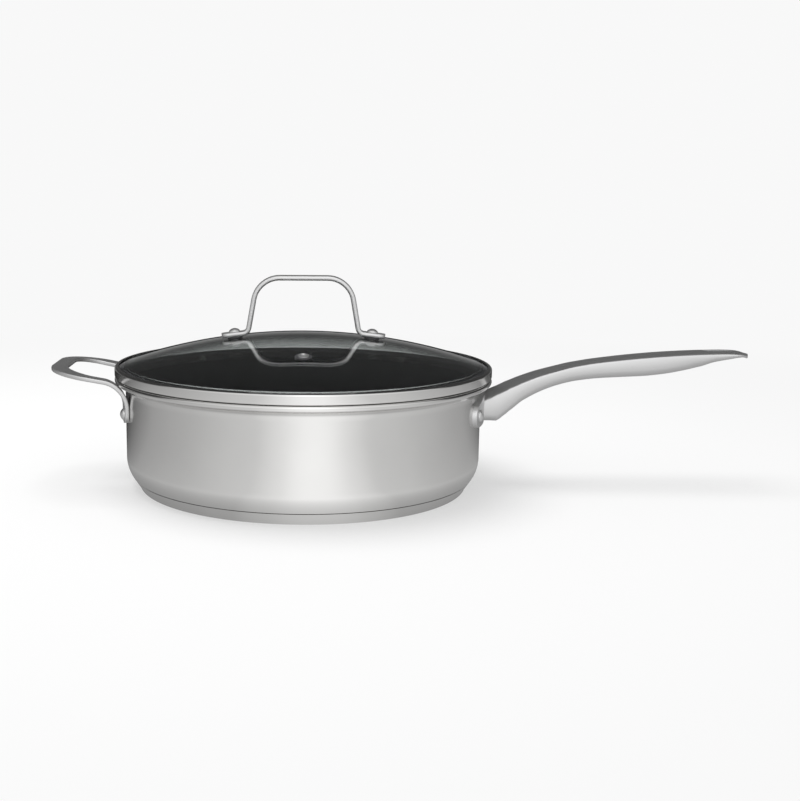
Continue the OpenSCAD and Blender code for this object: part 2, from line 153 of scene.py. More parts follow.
class LidHandleSizes(bpy.types.PropertyGroup):
    width: length("Width", "Width of the lid handle's bar", 0.010)
    thickness: length("Thickness", "Thickness of the lid handle's bar", 0.0038)
    rivet_place: length("Rivet place", "Distance from the axis to each rivet", 0.052)
    foot: length("Foot", "Length of the foot past each rivet", 0.010)
    leg_place: length("Leg place", "Half the distance between the legs", 0.0419)
    lean: angle("Lean", "Lean of each leg towards the middle", 10)
    loop_height: length("Loop height", "Height of the loop above the glass", 0.045)
    loop_corner: length("Loop corner", "Radius of the loop's corners", 0.020)
    foot_bend: length("Foot bend", "Radius of the bend at each foot", 0.005)


class LongHandleSizes(bpy.types.PropertyGroup):
    reach: length("Length", "Length from the wall to the tip", 0.204)
    rise: length("Rise", "Rise of the tip above the rivets", 0.0433)
    thickness: length("Thickness", "Thickness of the grip", 0.016)
    width: length("Width", "Width of the grip", 0.027)
    crown: length("Crown", "Radius of the crown across the top", 0.05)
    height: length("Rivet height", "Height of the rivets above the table", 0.0615)
    spread: angle("Rivet spread", "Angle of each rivet from the middle", 20.3)
    flange: length("Flange", "Thickness of the flange", 0.003)
    flange_end: length("Flange end", "Radius of the flange's rounded ends", 0.0085)
    slot_length: length("Slot length", "Length of the hanging slot", 0.023)
    slot_width: length("Slot width", "Width of the hanging slot", 0.008)
    slot_edge: length("Slot edge", "Distance from the slot to the tip", 0.0115)


class HelperSizes(bpy.types.PropertyGroup):
    width: length("Width", "Width of the bar", 0.012)
    thickness: length("Thickness", "Thickness of the bar", 0.0032)
    reach: length("Reach", "Distance from the wall to the bar's middle", 0.048)
    half_span: length("Half span", "Half the distance between the arms", 0.0445)
    corner: length("Corner", "Radius of the loop's corners", 0.026)
    tip_height: length("Tip height", "Height of the bar's middle at the tip", 0.0915)
    knee_height: length("Knee height", "Height where the arms leave the lugs", 0.0815)
    knee: length("Knee", "Radius of the bend above each lug", 0.020)
    height: length("Rivet height", "Height of the rivets above the table", 0.060)
    spread: angle("Rivet spread", "Angle of each rivet from the middle", 17)


class RivetSizes(bpy.types.PropertyGroup):
    shank: length("Shank", "Radius of the shanks", 0.0026)
    head: length("Head", "Radius of the domed heads", 0.0042)
    head_height: length("Head height", "Height of the domed heads", 0.0028)
    tail: length("Tail", "Radius of the flat heads", 0.0052)
    tail_height: length("Tail height", "Height of the flat heads", 0.0014)
    washer: length("Washer", "Radius of the lid's washers", 0.0056)
    washer_height: length("Washer height", "Thickness of the lid's washers", 0.0012)


class PanFinishes(bpy.types.PropertyGroup):
    steel: colour("Steel", "Colour of the steel", (0.80, 0.795, 0.785))
    worn_steel: colour("Handled steel", "Colour of the steel where it is handled", (0.70, 0.695, 0.685))
    coating: colour("Coating", "Colour of the non-stick coating", (0.022, 0.022, 0.024))
    glass: colour("Glass", "Tint of the glass", (0.93, 0.96, 0.95))
    silicone: colour("Silicone", "Colour of the seal and the washers", (0.045, 0.045, 0.048))
    aluminium: colour("Aluminium", "Colour of the disc in the base", (0.72, 0.72, 0.73))
    body_gloss: share("Body roughness", "Roughness of the body's steel", 0.16)
    handle_gloss: share("Handle roughness", "Roughness of the handles' steel", 0.125)


class StageSettings(bpy.types.PropertyGroup):
    floor: share("Floor", "Brightness of the floor and the backdrop", 0.94)
    floor_grey: share("Floor grey", "Share of the floor's brightness that takes shadow", 0.50)
    ambient: share("Ambient", "Light from all round", 0.62)
    lamp: bpy.props.FloatProperty(
        name="Lamp", description="Power of the overhead lamp", default=14.0, min=0.0,
        unit="POWER")


# Points and outlines

def arc(x, z, radius, start, end, steps=10):
    """Points of an outline along an arc, from one angle in degrees to another."""
    turns = [math.radians(start + (end - start) * i / steps) for i in range(steps + 1)]
    return [(x + radius * math.cos(t), z + radius * math.sin(t)) for t in turns]


def sphere_height(radius, x):
    return math.sqrt(radius * radius - x * x)


def dome_line(radius, centre_z, inner, outer, steps):
    """Points of a dome's outline from one distance off its axis to another."""
    places = [inner + (outer - inner) * i / steps for i in range(steps + 1)]
    return [(x, centre_z + sphere_height(radius, x)) for x in places]


def capsule_side(sizes, z):
    """Outer radius of the base capsule at a height."""
    groove_top = sizes.capsule_height + sizes.groove_width
    drop = sizes.corner_height - groove_top
    corner = sizes.wall_radius - sizes.corner_radius
    top = corner + math.sqrt(sizes.corner_radius ** 2 - drop ** 2)
    return sizes.base_radius + (top - sizes.base_radius) * z / groove_top


def dish(lid, reach):
    """Rise of the dished underside of the glass over a flat ring, with a little clearance."""
    under = lid.dome_radius - lid.glass
    return under - sphere_height(under, reach) + DISH_GAP


def lid_levels(pan, lid):
    """Heights and radii that the lid's pieces share."""
    flange = pan.rim_height + lid.gap
    top = flange + lid.band_height
    edge = lid.glass_radius - lid.glass_chamfer
    centre = top - lid.band - SEAT_GAP - sphere_height(lid.dome_radius, edge)
    return {
        "flange": flange,
        "top": top,
        "reach": pan.wall_radius + pan.lip_reach,
        "skirt": pan.wall_radius - pan.wall - lid.skirt_gap,
        "centre": centre,
        "under": lid.dome_radius - lid.glass,
    }


def body_outline(s):
    """Outline of the pressed body from the axis below to the axis above."""
    groove_top = s.capsule_height + s.groove_width
    corner_x = s.wall_radius - s.corner_radius
    lip_x = s.wall_radius + s.lip_reach - s.lip_radius
    lip_z = s.rim_height - s.lip_radius
    run = lip_x - s.wall_radius - s.flare
    flare_z = lip_z - math.sqrt((s.flare + s.lip_radius) ** 2 - run ** 2)
    flare_end = math.degrees(math.atan2(lip_z - flare_z, run))
    corner_start = -math.degrees(math.asin((s.corner_height - groove_top) / s.corner_radius))
    inner = s.wall_radius - s.wall
    floor = s.base_height + s.wall
    groove_x = capsule_side(s, s.capsule_height) - s.groove_depth
    groove_back = capsule_side(s, groove_top) - s.groove_depth
    hidden = capsule_side(s, s.base_height) - s.capsule_wall
    floor_x = inner - s.inner_corner
    return (
        [(0, s.base_height), (hidden, s.base_height)]
        + [(groove_x, s.capsule_height), (groove_back, groove_top)]
        + arc(corner_x, s.corner_height, s.corner_radius, corner_start, 0, 16)
        + [(s.wall_radius, s.corner_height + (flare_z - s.corner_height) * k / 4) for k in (1, 2, 3)]
        + arc(s.wall_radius + s.flare, flare_z, s.flare, 180, flare_end, 12)
        + arc(lip_x, lip_z, s.lip_radius, flare_end - 180, 90, 12)[1:]
        + arc(inner + s.rim_rounding, s.rim_height - s.rim_rounding, s.rim_rounding, 90, 180, 8)
        + arc(floor_x, floor + s.inner_corner, s.inner_corner, 0, -90, 12)
        + [(floor_x * k / 4, floor) for k in (3, 2, 1, 0)])


def capsule_outline(s):
    """Outline of the base capsule, its outside and then its inside."""
    edge = s.base_edge
    turn = s.capsule_wall + edge
    bottom = capsule_side(s, 0) - s.capsule_wall - edge
    rounding_x = capsule_side(s, edge) - edge
    return (
        [(rounding_x * k / 4, 0) for k in range(4)]
        + arc(rounding_x, edge, edge, -90, 0, 8)
        + [(capsule_side(s, s.capsule_height), s.capsule_height)]
        + [(capsule_side(s, s.capsule_height) - s.capsule_wall, s.capsule_height)]
        + [(capsule_side(s, turn) - s.capsule_wall, turn)]
        + [(bottom * k / 4, s.capsule_wall) for k in (4, 3, 2, 1, 0)])


def glass_outline(lid, levels):
    """Outline of the glass from the axis below to the axis above."""
    edge = lid.glass_radius - lid.glass_chamfer
    under = dome_line(levels["under"], levels["centre"], 0, lid.glass_radius, 24)
    over = dome_line(lid.dome_radius, levels["centre"], edge, 0, 24)
    side = (lid.glass_radius, levels["top"] - lid.band - lid.glass_chamfer)
    return under + [side] + over


def band_outline(pan, lid, levels):
    """Closed outline of the steel band round the glass."""
    edge_x = levels["reach"] - lid.band_edge
    low = levels["flange"] + lid.band_edge
    high = levels["top"] - lid.band_edge
    inside = lid.band_edge - lid.band
    skirt = levels["skirt"]
    foot = pan.rim_height - lid.skirt_depth
    turn = levels["reach"] - lid.band_turn
    seat = levels["flange"] + lid.band
    return (
        [(skirt - lid.band, foot), (skirt, foot), (skirt, levels["flange"])]
        + arc(edge_x, low, lid.band_edge, -90, 0, 8)
        + arc(edge_x, high, lid.band_edge, 0, 90, 8)
        + [(turn, levels["top"]), (turn, levels["top"] - lid.band)]
        + arc(edge_x, high, inside, 90, 0, 8)
        + arc(edge_x, low, inside, 0, -90, 8)
        + [(skirt - lid.band, seat)])


def seal_outline(lid, levels):
    """Closed outline of the silicone seal under and round the glass."""
    inner = levels["skirt"] + SEAL_GAP
    base = levels["flange"] + lid.band
    edge = levels["reach"] - lid.band - SEAT_GAP
    top = levels["top"] - lid.band - lid.glass_chamfer
    seat = dome_line(levels["under"], levels["centre"], lid.glass_radius, inner, 4)
    return (
        [(inner, base), (levels["reach"] - lid.band_edge, base)]
        + [(edge, levels["flange"] + lid.band_edge + SOFT_EDGE), (edge, top)]
        + [(lid.glass_radius, top)]
        + seat)


def head_outline(radius, height):
    """Outline of a domed head from its foot to the axis."""
    rise = height - HEAD_SIDE
    ball = (radius * radius + rise * rise) / (2 * rise)
    spread = math.degrees(math.asin(radius / ball))
    dome = arc(0, height - ball, ball, 90 - spread, 90, 8)
    return [(radius, 0), (radius, HEAD_SIDE * 0.6)] + dome


def rivet_outline(rivets, tail_seat, shoulder, head_seat):
    """Outline of a rivet: a flat head rounded below its shoulder, a shank and a domed head."""
    low = tail_seat - rivets.tail_height
    return (
        [(0, low), (rivets.tail - TAIL_EDGE, low), (rivets.tail - SOFT_EDGE, shoulder)]
        + [(rivets.tail, tail_seat), (rivets.shank, tail_seat), (rivets.shank, head_seat)]
        + [(x, z + head_seat) for x, z in head_outline(rivets.head, rivets.head_height)])


# Meshes

def new_verts(bm, before):
    return [v for v in bm.verts if v not in before]


def lathe(bm, outline, place=None, closed=False, steps=SMALL_STEPS):
    """Spins an outline of distance and height about the Z axis, then moves it to its place."""
    before = set(bm.verts)
    verts = [bm.verts.new((x, 0, z)) for x, z in outline]
    edges = [bm.edges.new(pair) for pair in zip(verts, verts[1:])]
    if closed:
        edges.append(bm.edges.new((verts[-1], verts[0])))
    bmesh.ops.spin(
        bm, geom=verts + edges, cent=(0, 0, 0), axis=(0, 0, 1), dvec=(0, 0, 0),
        angle=math.tau, steps=steps, use_merge=True)
    bmesh.ops.remove_doubles(bm, verts=new_verts(bm, before), dist=MERGE)
    if place is not None:
        bmesh.ops.transform(bm, matrix=place, verts=new_verts(bm, before))


def loft(bm, rings):
    """Skins a row of rings by extruding the first one's edges from each ring to the next."""
    verts = [bm.verts.new(p) for p in rings[0]]
    count = len(verts)
    edges = [bm.edges.new((verts[i], verts[(i + 1) % count])) for i in range(count)]
    bmesh.ops.contextual_create(bm, geom=edges)
    for ring in rings[1:]:
        grown = bmesh.ops.extrude_edge_only(bm, edges=edges)["geom"]
        edges = [g for g in grown if isinstance(g, bmesh.types.BMEdge)]
        order = {v: i for i, v in enumerate(verts)}
        following = [None] * count
        for new in (g for g in grown if isinstance(g, bmesh.types.BMVert)):
            for edge in new.link_edges:
                old = edge.other_vert(new)
                if old in order:
                    following[order[old]] = new
        for vert, point in zip(following, ring):
            vert.co = point
        fresh = set(following)
        edges = [e for e in edges if e.verts[0] in fresh and e.verts[1] in fresh]
        verts = following
    bmesh.ops.contextual_create(bm, geom=edges)


def on_wall(turn, z, reach):
    """A place on the side wall, with its Z pointing away from the pan's axis."""
    return (Matrix.Rotation(turn, 4, "Z") @ Matrix.Translation((reach, 0, z))
            @ Matrix.Rotation(math.pi / 2, 4, "Y"))


def on_glass(lid, levels, x):
    """A place on the glass, with its Z along the glass's normal."""
    lean = math.asin(x / lid.dome_radius)
    return (Matrix.Translation((0, 0, levels["centre"])) @ Matrix.Rotation(lean, 4, "Y")
            @ Matrix.Translation((0, 0, lid.dome_radius)))


def corner_arc(before, corner, after, radius, steps):
    """Points that round a corner between two straight runs."""
    u = (before - corner).normalized()
    v = (after - corner).normalized()
    half = u.angle(v) / 2
    centre = corner + (u + v).normalized() * radius / math.sin(half)
    start = (corner + u * radius / math.tan(half) - centre).normalized()
    end = (corner + v * radius / math.tan(half) - centre).normalized()
    side = (end - start * end.dot(start)).normalized()
    sweep = math.pi - 2 * half
    turns = [sweep * i / steps for i in range(steps + 1)]
    return [centre + radius * (start * math.cos(t) + side * math.sin(t)) for t in turns]


def bent_path(corners, radii, steps):
    """A bar's middle line through its corners, each one rounded."""
    path = [corners[0]]
    for i, radius in enumerate(radii, start=1):
        path += corner_arc(corners[i - 1], corners[i], corners[i + 1], radius, steps)
    return path + [corners[-1]]


def round_ends(path, radius, half_width, steps=7):
    """Adds points near both ends of a path, and gives each point its share of the full width."""
    def end(first, second):
        run = (second - first).normalized()
        turns = [math.pi / 2 * (i + 0.35) / (steps + 0.35) for i in range(steps + 1)]
        gone = [radius * (1 - math.cos(t)) for t in turns]
        points = [first + run * g for g in gone]
        return points, [min(1, radius * math.sin(t) / half_width) for t in turns]

    start, start_share = end(path[0], path[1])
    finish, finish_share = end(path[-1], path[-2])
    middle = path[1:-1]
    return (start + middle + finish[::-1],
            start_share + [1] * len(middle) + finish_share[::-1])


def path_tangent(path, i):
    return (path[min(i + 1, len(path) - 1)] - path[max(i - 1, 0)]).normalized()


def bar_section(width, thickness, rounding, steps):
    """A bar's section across its width and its thickness, with rounded edges."""
    x, z = width / 2 - rounding, thickness / 2 - rounding
    return (arc(x, z, rounding, 0, 90, steps) + arc(-x, z, rounding, 90, 180, steps)
            + arc(-x, -z, rounding, 180, 270, steps) + arc(x, -z, rounding, 270, 360, steps))


def swept_rings(path, shares, section, across):
    """Rings of a bar along its path; across gives the direction of its width at each point."""
    rings = []
    for i, (point, part) in enumerate(zip(path, shares)):
        tangent = path_tangent(path, i)
        wide = across(tangent, point)
        thick = tangent.cross(wide)
        rings.append([point + wide * (a * part) + thick * b for a, b in section])
    return rings


def rough_object(bm, name):
    """A bare object for one solid that is about to be joined or cut."""
    bmesh.ops.recalc_face_normals(bm, faces=bm.faces)
    mesh = bpy.data.meshes.new(name)
    bm.to_mesh(mesh)
    bm.free()
    obj = bpy.data.objects.new(name, mesh)
    bpy.context.scene.collection.objects.link(obj)
    return obj


def prism(outline, way, name):
    """A flat outline carried along a way, as a rough object."""
    bm = bmesh.new()
    face = bm.faces.new([bm.verts.new(point) for point in outline])
    grown = bmesh.ops.extrude_face_region(bm, geom=[face])["geom"]
    moved = [g for g in grown if isinstance(g, bmesh.types.BMVert)]
    bmesh.ops.translate(bm, vec=way, verts=moved)
    return rough_object(bm, name)


def drum(radius, low, high, name):
    """A cylinder about the pan's axis, as a rough object."""
    bm = bmesh.new()
    lathe(bm, [(0, low), (radius, low), (radius, high), (0, high)], steps=ROUND_STEPS * 2)
    return rough_object(bm, name)


def discard(obj):
    """Removes a rough object and its mesh."""
    mesh = obj.data
    bpy.data.objects.remove(obj)
    bpy.data.meshes.remove(mesh)


def combine(target, tool, operation):
    """Joins, cuts or intersects one solid with another, and removes the second."""
    modifier = target.modifiers.new("combine", "BOOLEAN")
    modifier.operation = operation
    modifier.solver = "EXACT"
    modifier.object = tool
    evaluated = target.evaluated_get(bpy.context.evaluated_depsgraph_get())
    made = bpy.data.meshes.new_from_object(evaluated)
    target.modifiers.clear()
    old = target.data
    target.data = made
    bpy.data.meshes.remove(old)
    discard(tool)
    if not made.polygons:
        raise RuntimeError(f"{operation} left nothing of {target.name}")


def finish_piece(bm, name, body, node, slot, *materials, crease=LARGE_CREASE):
    """Turns a bmesh into a smooth-shaded piece that rides on its body."""
    bmesh.ops.remove_doubles(bm, verts=bm.verts, dist=MERGE)
    bmesh.ops.recalc_face_normals(bm, faces=bm.faces)
    for face in bm.faces:
        face.smooth = True
    for edge in bm.edges:
        edge.smooth = edge.calc_face_angle(0.0) < math.radians(crease)
    mesh = bpy.data.meshes.new(name)
    bm.to_mesh(mesh)
    bm.free()
    for material in materials:
        mesh.materials.append(material)
    obj = bpy.data.objects.new(name, mesh)
    bpy.context.scene.collection.objects.link(obj)
    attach(obj, body)
    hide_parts(node)


def turned_piece(outline, *piece, place=None, closed=False, large=False):
    """Spins a piece; after the outline come its name, body, node, slot and material. The slot is not
    used.
    """
    bm = bmesh.new()
    lathe(bm, outline, place, closed, ROUND_STEPS if large else SMALL_STEPS)
    finish_piece(bm, *piece, crease=LARGE_CREASE if large else SMALL_CREASE)


# Materials

def arithmetic(operation, reflected=False):
    """A method that adds the Math node for one of Python's operators."""
    def method(self, other):
        pair = (other, self) if reflected else (self, other)
        return self.maths(operation, *pair)
    return method


class Value:
    """A shader socket that takes part in Python arithmetic."""

    __add__ = arithmetic("ADD")
    __radd__ = arithmetic("ADD", reflected=True)
    __sub__ = arithmetic("SUBTRACT")
    __rsub__ = arithmetic("SUBTRACT", reflected=True)
    __mul__ = arithmetic("MULTIPLY")
    __rmul__ = arithmetic("MULTIPLY", reflected=True)
    __truediv__ = arithmetic("DIVIDE")
    __pow__ = arithmetic("POWER")

    def __init__(self, graph, socket):
        self.graph = graph
        self.socket = socket

    def maths(self, operation, *values):
        return self.graph.add("ShaderNodeMath", {"operation": operation}, list(values))

    def clamped(self):
        return self.maths("MAXIMUM", 0.0, self.maths("MINIMUM", 1.0, self))


class Graph:
    """The node tree of a material or of the world."""

    def __init__(self, tree):
        self.tree = tree
        tree.nodes.clear()

    def add(self, kind, settings=None, inputs=None, output=0):
        """Adds a node: its settings first, then its sockets' values or links."""
        node = self.tree.nodes.new(kind)
        for key, setting in (settings or {}).items():
            if key == "stops":
                self.set_stops(node.color_ramp, setting)
            else:
                setattr(node, key, setting)
        pairs = inputs.items() if isinstance(inputs, dict) else enumerate(inputs or [])
        for key, given in pairs:
            if isinstance(given, Value):
                self.tree.links.new(given.socket, node.inputs[key])
            else:
                node.inputs[key].default_value = given
        return Value(self, node.outputs[output]) if node.outputs else node

    def set_stops(self, ramp, stops):
        for i, (place, grey) in enumerate(stops):
            stop = ramp.elements[i] if i < 2 else ramp.elements.new(place)
            stop.position = place
            stop.color = (grey, grey, grey, 1)

    def coordinates(self, output="Object"):
        """The three coordinates as separate values."""
        point = self.add("ShaderNodeTexCoord", output=output)
        node = self.tree.nodes.new("ShaderNodeSeparateXYZ")
        self.tree.links.new(point.socket, node.inputs[0])
        return [Value(self, node.outputs[i]) for i in range(3)]

    def vector(self, x, y, z):
        return self.add("ShaderNodeCombineXYZ", None, [x, y, z])

    def noise(self, vector, scale=1.0, detail=2.0, roughness=0.5):
        return self.add("ShaderNodeTexNoise", None, {
            "Vector": vector, "Scale": scale, "Detail": detail, "Roughness": roughness})

    def mix(self, factor, a, b):
        node = self.tree.nodes.new("ShaderNodeMix")
        node.data_type = "RGBA"
        self.tree.links.new(factor.socket, node.inputs["Factor"])
        node.inputs[6].default_value = (*a, 1)
        node.inputs[7].default_value = (*b, 1)
        return Value(self, node.outputs[2])

    def bump(self, height, strength, distance):
        return self.add("ShaderNodeBump", None, {
            "Height": height, "Strength": strength, "Distance": distance})


def finish_material(graph, inputs):
    surface = graph.add("ShaderNodeBsdfPrincipled", None, inputs)
    graph.add("ShaderNodeOutputMaterial", None, {"Surface": surface})


def new_graph(name):
    material = bpy.data.materials.new(name)
    material.use_nodes = True
    return material, Graph(material.node_tree)


def existing(name, make):
    """A material by its name, made once, or the frame's own where the frame has that name."""
    return bpy.data.materials.get(name) or make()


# The finish that holds each steel's roughness, and its brushing. The frame brings flat materials
# called handle_steel and rivet_steel, and existing() takes those, so only body_steel is made here.
STEELS = {
    "body_steel": ("body_gloss", "round"),
    "handle_steel": ("handle_gloss", "along"),
    "rivet_steel": ("handle_gloss", "none"),
}


def make_steel(finishes, name):
    """Satin steel whose brushing runs round the axis, along X, or nowhere."""
    gloss, brushing = STEELS[name]
    material, graph = new_graph(name)
    x, y, z = graph.coordinates()
    if brushing == "round":
        distance = (x * x + y * y) ** 0.5
        lines = graph.vector(distance * 1100, z * 1100, (x + y) * 7)
    elif brushing == "along":
        lines = graph.vector(x * 9, y * 1100, z * 1100)
    else:
        lines = graph.vector(x * 500, y * 500, z * 500)
    grain = graph.noise(lines, 1.0, 3.0, 0.6)
    clouds = graph.noise(graph.vector(x, y, z), 16.0, 3.0, 0.55)
    marks = graph.noise(graph.vector(x, y, z), 60.0, 2.0, 0.7)
    roughness = getattr(finishes, gloss)
    finish_material(graph, {
        "Base Color": graph.mix(clouds, finishes.steel, finishes.worn_steel),
        "Metallic": 1.0,
        "Roughness": roughness - 0.07 + grain * 0.08 + clouds * 0.05 + marks * 0.02,
        "Normal": graph.bump(grain, 0.05, 0.00004),
    })
    return material


def steel(name):
    return existing(name, lambda: make_steel(bpy.context.scene.pan_finishes, name))


def make_coating(finishes):
    material, graph = new_graph("non_stick_coating")
    x, y, z = graph.coordinates()
    point = graph.vector(x, y, z)
    distance = (x * x + y * y) ** 0.5
    rings = graph.noise(graph.vector(distance * 420, z * 420, 0.0), 1.0, 2.0, 0.5)
    speckle = graph.noise(point, 1400.0, 1.0, 0.5)
    rubbed = graph.noise(point, 22.0, 3.0, 0.6)
    lighter = [c * 1.7 for c in finishes.coating]
    finish_material(graph, {
        "Base Color": graph.mix(rubbed, finishes.coating, lighter),
        "Roughness": 0.30 + speckle * 0.10 + rubbed * 0.08 + rings * 0.04,
        "Normal": graph.bump(speckle * 0.7 + rings * 0.3, 0.10, 0.00005),
    })
    return material


def make_glass(finishes):
    material, graph = new_graph("lid_glass")
    x, y, z = graph.coordinates()
    smears = graph.noise(graph.vector(x, y, z), 30.0, 3.0, 0.6)
    finish_material(graph, {
        "Base Color": (*finishes.glass, 1),
        "Transmission Weight": 1.0,
        "IOR": 1.5,
        "Roughness": smears * 0.015,
    })
    return material


def make_silicone(finishes):
    material, graph = new_graph("silicone")
    x, y, z = graph.coordinates()
    point = graph.vector(x, y, z)
    grain = graph.noise(point, 900.0, 2.0, 0.5)
    dust = graph.noise(point, 40.0, 3.0, 0.6)
    lighter = [min(1.0, c * 1.6) for c in finishes.silicone]
    finish_material(graph, {
        "Base Color": graph.mix(dust, finishes.silicone, lighter),
        "Roughness": 0.48 + grain * 0.12 + dust * 0.08,
        "Normal": graph.bump(grain, 0.12, 0.00006),
    })
    return material


def make_aluminium(finishes):
    material, graph = new_graph("core_aluminium")
    x, y, z = graph.coordinates()
    distance = (x * x + y * y) ** 0.5
    turned = graph.noise(graph.vector(distance * 800, z * 800, 0.0), 1.0, 2.0, 0.5)
    darker = [c * 0.85 for c in finishes.aluminium]
    finish_material(graph, {
        "Base Color": graph.mix(turned, finishes.aluminium, darker),
        "Metallic": 1.0,
        "Roughness": 0.34 + turned * 0.14,
        "Normal": graph.bump(turned, 0.08, 0.00005),
    })
    return material


def silicone():
    return existing("silicone", lambda: make_silicone(bpy.context.scene.pan_finishes))


# Operators

class PAN_OT_body(bpy.types.Operator):
    """Spin the pressed steel body with its coated inside"""
    bl_idname = "pan.body"
    bl_label = "Pan body"

    def execute(self, context):
        sizes = context.scene.pan_sizes
        bm = bmesh.new()
        lathe(bm, body_outline(sizes), steps=ROUND_STEPS)
        bmesh.ops.recalc_face_normals(bm, faces=bm.faces)
        inner = sizes.wall_radius - sizes.wall / 2
        groove_top = sizes.capsule_height + sizes.groove_width
        for face in bm.faces:
            middle = face.calc_center_median()
            inside = math.hypot(middle.x, middle.y) < inner and middle.z > groove_top
            facing_in = middle.x * face.normal.x + middle.y * face.normal.y < 0
            on_floor = face.normal.z > 0.5 and middle.z < sizes.corner_height
            if on_floor or (facing_in and inside):
                face.material_index = 1
        finish_piece(bm, "pan_shell", "pan", "pan_body", "pan_steel",
                     steel("body_steel"), make_coating(context.scene.pan_finishes))
        return {"FINISHED"}


class PAN_OT_base(bpy.types.Operator):
    """Spin the steel capsule of the base, and finish the disc inside it"""
    bl_idname = "pan.base"
    bl_label = "Base"

    def execute(self, context):
        turned_piece(capsule_outline(context.scene.pan_sizes), "capsule_shell", "pan",
                     "base_capsule", "pan_steel", steel("body_steel"), large=True)
        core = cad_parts["base_core"]
        core.data.materials.clear()
        core.data.materials.append(make_aluminium(context.scene.pan_finishes))
        return {"FINISHED"}


class PAN_OT_long_handle(bpy.types.Operator):
    """Loft the long handle, join its flange and cut its hanging slot"""
    bl_idname = "pan.long_handle"
    bl_label = "Long handle"

    # Share of the length, of the rise, of the thickness and of the width
    ROWS = (
        (-0.060, 0.06, 1.00, 1.28), (-0.012, 0.16, 1.08, 1.28), (0.034, 0.25, 1.30, 1.26),
        (0.062, 0.31, 1.47, 1.24), (0.075, 0.34, 1.40, 1.23), (0.103, 0.405, 1.29, 1.20),
        (0.152, 0.50, 1.05, 1.15), (0.211, 0.598, 0.91, 1.07), (0.270, 0.675, 0.82, 1.01),
        (0.338, 0.755, 0.81, 0.96), (0.417, 0.822, 0.85, 0.95), (0.515, 0.882, 0.93, 0.98),
        (0.613, 0.930, 0.99, 1.00), (0.691, 0.960, 0.95, 1.00), (0.760, 0.979, 0.83, 0.985),
        (0.819, 0.991, 0.675, 0.965), (0.858, 0.996, 0.50, 0.96), (0.917, 1.000, 0.36, 0.95),
        (0.966, 0.985, 0.22, 0.95), (1.000, 0.940, 0.21, 0.95))
    RINGS = 84
    # Angles round the tip, in degrees, where further rings stand
    TIP_ANGLES = (8, 17, 26, 35, 44, 53, 61, 69, 76, 82, 87)
    # Greatest rounding of the underside
    UNDER_EDGE = 0.005
    # Rise of the flange's upper edge, how much tighter it is rounded there, and where it levels out
    FLANGE_RISE = 0.0045
    FLANGE_TIGHTER = 0.0015
    FLANGE_SHOULDER = 0.66

    def row_at(self, place):
        """The handle's rise, thickness and width at a share of its length."""
        rows = self.ROWS
        i = max(k for k in range(len(rows) - 1) if rows[k][0] <= place or k == 0)
        a, b, c, d = (rows[min(max(i + k, 0), len(rows) - 1)] for k in (-1, 0, 1, 2))
        t = (place - b[0]) / (c[0] - b[0])
        return [
            0.5 * (2 * b[k] + (c[k] - a[k]) * t + (2 * a[k] - 5 * b[k] + 4 * c[k] - d[k]) * t ** 2
                   + (3 * b[k] - a[k] - 3 * c[k] + d[k]) * t ** 3)
            for k in (1, 2, 3)]

    def ring(self, sizes, wall, place):
        """One ring: flat sides, a crowned top and a rounded underside."""
        rise, thick, wide = self.row_at(place)
        end = sizes.width / 2
        past = place * sizes.reach - (sizes.reach - end)
        half = wide * sizes.width / 2
        if past > 0:
            half = min(half, math.sqrt(max(end * end - past * past, 1e-8)))
        x = wall + place * sizes.reach
        top = sizes.height + rise * sizes.rise
        thickness = thick * sizes.thickness
        edge = min(self.UNDER_EDGE, thickness / 2.4, half * 0.6)
        low = top - thickness + edge
        soft = min(BAR_EDGE, half * 0.4)
        step = soft * 0.3
        flat = half - soft

        def crown(y):
            return top - y * y / (2 * sizes.crown)

        over = [(half, crown(half) - soft), (half - step, crown(half) - step)]
        over += [(k * flat, crown(k * flat)) for k in (1 - i / 6 for i in range(13))]
        over += [(step - half, crown(half) - step), (-half, crown(half) - soft)]
        right = arc(half - edge, low, edge, -90, 0, 6)
        left = arc(edge - half, low, edge, 180, 270, 6)
        return [(x, y, z) for y, z in right + over + left]

    def stations(self, sizes):
        """Shares of the length where the rings stand, closer together round the tip."""
        root = self.ROWS[0][0]
        end = sizes.width / 2 / sizes.reach
        along = [root + (1 - end - root) * i / self.RINGS for i in range(self.RINGS + 1)]
        return along + [1 - end + end * math.sin(math.radians(t)) for t in self.TIP_ANGLES]

    def flange(self, sizes, wall):
        """The curved plate on the wall, with a rounded end at each rivet."""
        face = wall + sizes.flange
        reach = face * math.sin(sizes.spread)
        shoulder = reach * self.FLANGE_SHOULDER
        lean = math.degrees(math.atan2(self.FLANGE_RISE, reach * (1 - self.FLANGE_SHOULDER)))
        raised = sizes.height + self.FLANGE_RISE
        end = sizes.flange_end
        upper = end - self.FLANGE_TIGHTER
        rim = (arc(reach, sizes.height, end, -90, 90 - lean, 14)
               + arc(shoulder, raised, upper, 90 - lean, 90, 3)
               + arc(-shoulder, raised, upper, 90, 90 + lean, 3)
               + arc(-reach, sizes.height, end, 90 + lean, 270, 14))
        plate = prism([(wall - 0.02, y, z) for y, z in rim], (0.03, 0, 0), "plate")
        outer_wall = drum(face, sizes.height - 0.03, sizes.height + 0.03, "outer_wall")
        combine(plate, outer_wall, "INTERSECT")
        return plate

    def slot(self, sizes, wall):
        """The hanging slot as a solid that cuts through the grip's end."""
        centre = wall + sizes.reach - sizes.slot_edge - sizes.slot_length / 2
        run = (sizes.slot_length - sizes.slot_width) / 2
        outline = (arc(centre + run, 0, sizes.slot_width / 2, -90, 90, 12)
                   + arc(centre - run, 0, sizes.slot_width / 2, 90, 270, 12))
        return prism([(x, y, 0.05) for x, y in outline], (0, 0, 0.1), "slot_cut")

